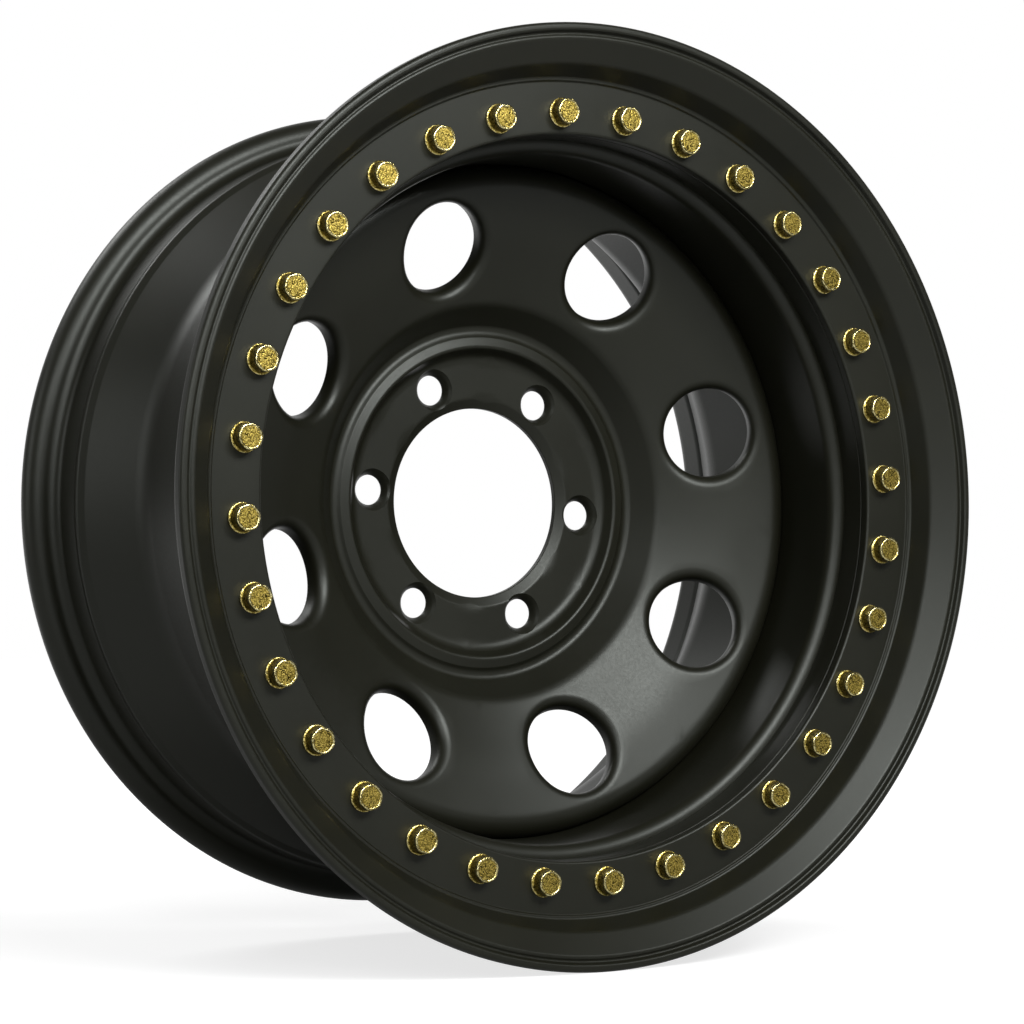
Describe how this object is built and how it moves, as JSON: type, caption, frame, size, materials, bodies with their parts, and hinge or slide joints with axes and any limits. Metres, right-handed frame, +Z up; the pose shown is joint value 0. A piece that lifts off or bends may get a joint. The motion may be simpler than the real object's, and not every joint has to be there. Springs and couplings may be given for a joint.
{
  "type": "beadlock wheel",
  "caption": "Black steel off-road wheel with a dished disc, round windows and an outer ring bolted on to clamp the tyre bead.",
  "frame": {"origin": "centre of the disc's hub face, where the wheel meets the axle hub", "axes": "Y is the spin axis, outboard side towards -Y and car towards +Y; +Z up, +X to the right seen from outboard"},
  "size_m": [0.5073, 0.2444, 0.5074],
  "materials": {
    "satin_black": "satin black powder coat on steel",
    "yellow_zinc": "yellow zinc plate on steel, slightly mottled"
  },
  "bodies": {
    "root": {"barrel": "satin_black", "disc": "satin_black", "weld_ring": "satin_black", "clamp_ring": "satin_black", "clamp_bolts": "yellow_zinc"}
  },
  "joints": []
}
